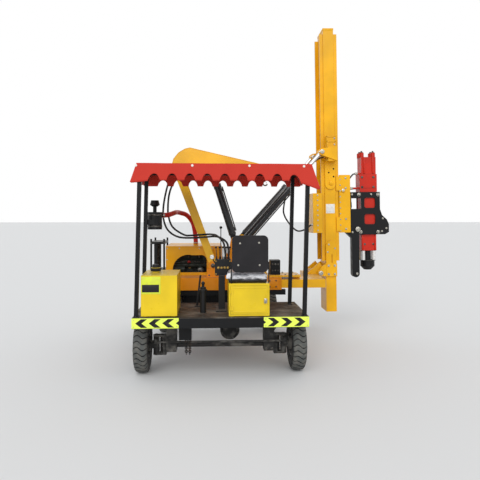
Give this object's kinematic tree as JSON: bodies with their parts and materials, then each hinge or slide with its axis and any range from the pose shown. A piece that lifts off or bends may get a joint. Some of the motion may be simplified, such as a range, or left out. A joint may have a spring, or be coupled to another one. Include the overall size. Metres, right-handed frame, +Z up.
{
  "type": "wheeled pile driver rig",
  "caption": "Four-wheeled guardrail post driver with a tilting side mast, hydraulic hammer on a sliding carriage, sideways cross slide, lifting jib, driver's deck and scalloped canopy.",
  "frame": {"origin": "Centre of the bounding box at ground level.", "axes": "+X is the machine's right side, where the mast stands; +Y is forward, away from the driver's seat; +Z is up."},
  "size_m": [3.3722, 2.903, 4.3839],
  "materials": {
    "black_paint": "semi-gloss black paint",
    "worn_deck": "dark worn chequer plate",
    "chevron_film": "fluorescent lime film with black chevrons",
    "bare_steel": "bare steel",
    "tyre_rubber": "black rubber, dusty",
    "rim_paint": "dark paint",
    "yellow_paint": "glossy warm yellow paint",
    "orange_paint": "glossy orange-yellow paint",
    "seat_vinyl": "black vinyl",
    "red_canopy": "red coated cloth",
    "engine_iron": "dark iron",
    "black_hose": "black rubber hose",
    "red_hose": "red silicone hose",
    "wheel_plastic": "black plastic",
    "chrome_rod": "chromed rod",
    "red_paint": "red paint"
  },
  "bodies": {
    "chassis": {"frame": "black_paint", "deck": "worn_deck", "chevrons": "chevron_film", "rear_axle": "black_paint", "front_axle": "black_paint", "transfer_case": "black_paint", "tank_box": "yellow_paint", "seat_box": "yellow_paint", "seat_cushion": "seat_vinyl", "seat_back": "seat_vinyl", "canopy_frame": "black_paint", "canopy": "red_canopy", "engine_block": "engine_iron", "engine_parts": "engine_iron", "engine_cover": "yellow_paint", "radiator": "black_paint", "air_cleaner": "black_paint", "intake_hose": "red_hose", "earth_chain": "bare_steel", "valve_stand": "black_paint", "pedestal": "black_paint", "steering_column": "black_paint", "slide_sleeve": "orange_paint"},
    "knuckle_left": {"knuckle_left": "black_paint"},
    "knuckle_right": {"knuckle_right": "black_paint"},
    "tie_rod": {"tie_rod": "black_paint"},
    "wheel_rear_left": {"tyre_rear_left": "tyre_rubber", "rim_rear_left": "rim_paint"},
    "wheel_rear_right": {"tyre_rear_right": "tyre_rubber", "rim_rear_right": "rim_paint"},
    "wheel_front_left": {"tyre_front_left": "tyre_rubber", "rim_front_left": "rim_paint"},
    "wheel_front_right": {"tyre_front_right": "tyre_rubber", "rim_front_right": "rim_paint"},
    "steering_wheel": {"steering_wheel": "wheel_plastic"},
    "seat_box_door": {"seat_box_door": "yellow_paint"},
    "cross_slide": {"slide_beam": "yellow_paint", "slide_valve_box": "black_paint"},
    "mast": {"mast": "yellow_paint", "mast_brackets": "yellow_paint", "mast_hose": "black_hose"},
    "tilt_barrel_rear": {"tilt_barrel_rear": "black_paint"},
    "tilt_rod_rear": {"tilt_rod_rear": "chrome_rod"},
    "tilt_barrel_front": {"tilt_barrel_front": "black_paint"},
    "tilt_rod_front": {"tilt_rod_front": "chrome_rod"},
    "carriage": {"carriage": "yellow_paint", "hammer_housing": "black_paint", "hammer_body": "red_paint", "drive_cap": "black_paint"},
    "jib": {"jib": "yellow_paint"},
    "jib_barrel": {"jib_barrel": "black_paint"},
    "jib_rod": {"jib_rod": "chrome_rod"},
    "hook": {"hook": "bare_steel"}
  },
  "joints": [
    {"name": "steer_left", "type": "hinge", "parent": "chassis", "child": "knuckle_left", "pos_m": [-1.45507, -0.9985, 0.29992], "axis": [0, 0, 1], "range_deg": [-28, 28]},
    {"name": "steer_right", "type": "hinge", "parent": "chassis", "child": "knuckle_right", "pos_m": [-0.02307, -0.9985, 0.29992], "axis": [0, 0, 1], "range_deg": [-28, 28]},
    {"name": "tie_rod_pivot", "type": "hinge", "parent": "knuckle_left", "child": "tie_rod", "pos_m": [-1.45507, -1.1085, 0.34962], "axis": [0, 0, 1], "range_deg": [-29, 29]},
    {"name": "wheel_rear_left_spin", "type": "hinge", "parent": "knuckle_left", "child": "wheel_rear_left", "pos_m": [-1.60507, -0.9985, 0.29992], "axis": [-1, 0, 0], "continuous": true},
    {"name": "wheel_rear_right_spin", "type": "hinge", "parent": "knuckle_right", "child": "wheel_rear_right", "pos_m": [0.12693, -0.9985, 0.29992], "axis": [-1, 0, 0], "continuous": true},
    {"name": "wheel_front_left_spin", "type": "hinge", "parent": "chassis", "child": "wheel_front_left", "pos_m": [-1.53907, 1.0015, 0.29992], "axis": [-1, 0, 0], "continuous": true},
    {"name": "wheel_front_right_spin", "type": "hinge", "parent": "chassis", "child": "wheel_front_right", "pos_m": [0.06093, 1.0015, 0.29992], "axis": [-1, 0, 0], "continuous": true},
    {"name": "steering_wheel_turn", "type": "hinge", "parent": "chassis", "child": "steering_wheel", "pos_m": [-0.39407, -0.69365, 1.26218], "axis": [0, -0.2419, 0.9703], "range_deg": [-340, 340]},
    {"name": "seat_box_door_swing", "type": "hinge", "parent": "chassis", "child": "seat_box_door", "pos_m": [-0.64107, -1.4268, 0.85], "axis": [0, 0, -1], "range_deg": [0, 110]},
    {"name": "cross_slide_move", "type": "slide", "parent": "chassis", "child": "cross_slide", "axis": [1, 0, 0], "range_m": [-0.15, 0.25]},
    {"name": "mast_tilt", "type": "hinge", "parent": "cross_slide", "child": "mast", "pos_m": [0.68193, 0.4765, 0.95], "axis": [0, 1, 0], "range_deg": [-15, 8]},
    {"name": "tilt_barrel_rear_swing", "type": "hinge", "parent": "cross_slide", "child": "tilt_barrel_rear", "pos_m": [-0.45407, 0.1715, 1.34], "axis": [0, 1, 0], "range_deg": [-13, 8]},
    {"name": "tilt_rod_rear_extend", "type": "slide", "parent": "tilt_barrel_rear", "child": "tilt_rod_rear", "axis": [0.6586, 0, 0.7525], "range_m": [-0.33, 0.18]},
    {"name": "tilt_barrel_front_swing", "type": "hinge", "parent": "cross_slide", "child": "tilt_barrel_front", "pos_m": [-0.39407, 0.7635, 1.435], "axis": [0, 1, 0], "range_deg": [-13, 8]},
    {"name": "tilt_rod_front_extend", "type": "slide", "parent": "tilt_barrel_front", "child": "tilt_rod_front", "axis": [0.6668, 0, 0.7453], "range_m": [-0.33, 0.18]},
    {"name": "carriage_lift", "type": "slide", "parent": "mast", "child": "carriage", "axis": [-0.014, 0, 0.9999], "range_m": [-0.38, 1.9]},
    {"name": "jib_luff", "type": "hinge", "parent": "chassis", "child": "jib", "pos_m": [-0.81907, -0.1485, 1.108], "axis": [0, 1, 0], "range_deg": [-6, 22]},
    {"name": "jib_barrel_swing", "type": "hinge", "parent": "chassis", "child": "jib_barrel", "pos_m": [-0.54207, -0.1485, 1.432], "axis": [0, 1, 0], "range_deg": [-9, 31]},
    {"name": "jib_rod_extend", "type": "slide", "parent": "jib_barrel", "child": "jib_rod", "axis": [-0.3003, 0, 0.9538], "range_m": [-0.14, 0.05]},
    {"name": "hook_swing", "type": "hinge", "parent": "jib", "child": "hook", "pos_m": [-0.13907, -0.1485, 2.262], "axis": [0, 1, 0], "range_deg": [-60, 60]}
  ],
  "couplings": [
    {"joint": "steer_right", "follows": "steer_left", "ratio": 1},
    {"joint": "tie_rod_pivot", "follows": "steer_left", "ratio": -1},
    {"joint": "steering_wheel_turn", "follows": "steer_left", "ratio": -12},
    {"joint": "tilt_barrel_rear_swing", "follows": "mast_tilt", "ratio": 0.759},
    {"joint": "tilt_rod_rear_extend", "follows": "mast_tilt", "m_per_rad": 1.128},
    {"joint": "tilt_barrel_front_swing", "follows": "mast_tilt", "ratio": 0.81},
    {"joint": "tilt_rod_front_extend", "follows": "mast_tilt", "m_per_rad": 1.137},
    {"joint": "jib_barrel_swing", "follows": "jib_luff", "ratio": 1.312},
    {"joint": "jib_rod_extend", "follows": "jib_luff", "m_per_rad": -0.309}
  ]
}
